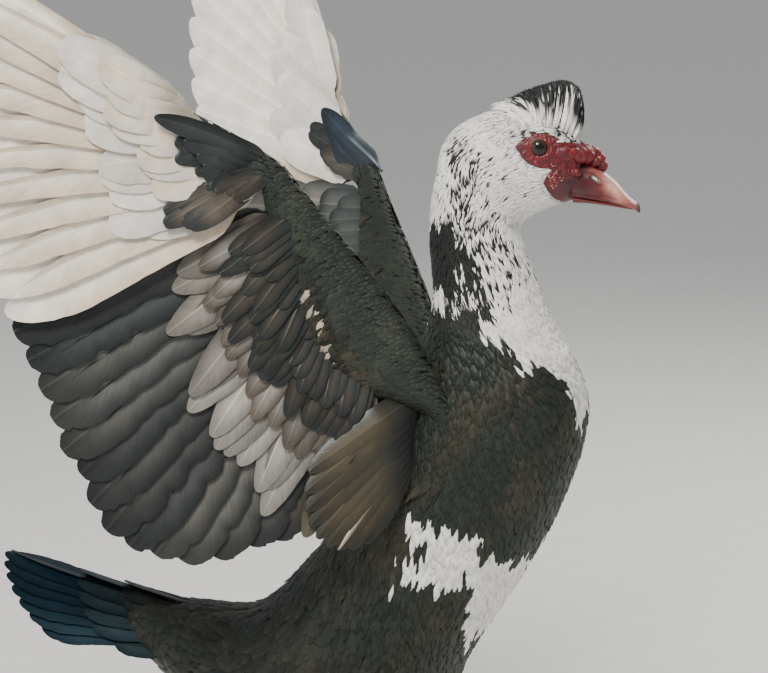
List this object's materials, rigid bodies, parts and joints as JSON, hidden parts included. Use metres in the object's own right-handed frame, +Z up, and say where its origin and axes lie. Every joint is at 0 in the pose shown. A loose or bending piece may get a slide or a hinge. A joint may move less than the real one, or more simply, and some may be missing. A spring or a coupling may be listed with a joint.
{
  "type": "muscovy duck figure",
  "caption": "Life-size still model of a pied muscovy duck standing upright with both wings raised and spread behind it.",
  "frame": {"origin": "centre of the duck's footprint box, on the floor under its feet", "axes": "+X the way the duck's body faces, +Y towards its left wing, +Z up"},
  "size_m": [0.5238, 0.5284, 0.7774],
  "materials": {
    "plumage_dark": "satin",
    "plumage_white": "soft matte",
    "plumage_blue": "glossy iridescent",
    "bill": "satin horn",
    "eye": "wet gloss",
    "leg": "scaly satin",
    "claw": "satin horn"
  },
  "bodies": {
    "root": {"torso": "plumage_dark", "neck_lower": "plumage_white", "neck_upper": "plumage_white", "head": "plumage_white", "eye_right": "eye", "eye_left": "eye", "bill_upper": "bill", "bill_lower": "bill", "tail": "plumage_blue", "wing_right_arm": "plumage_dark", "wing_right_hand": "plumage_white", "thigh_right": "plumage_dark", "shank_right": "leg", "foot_right": "leg", "claw_right_inner": "claw", "claw_right_middle": "claw", "claw_right_outer": "claw", "claw_right_hind": "claw", "wing_left_arm": "plumage_dark", "wing_left_hand": "plumage_white", "thigh_left": "plumage_dark", "shank_left": "leg", "foot_left": "leg", "claw_left_inner": "claw", "claw_left_middle": "claw", "claw_left_outer": "claw", "claw_left_hind": "claw"}
  },
  "joints": []
}
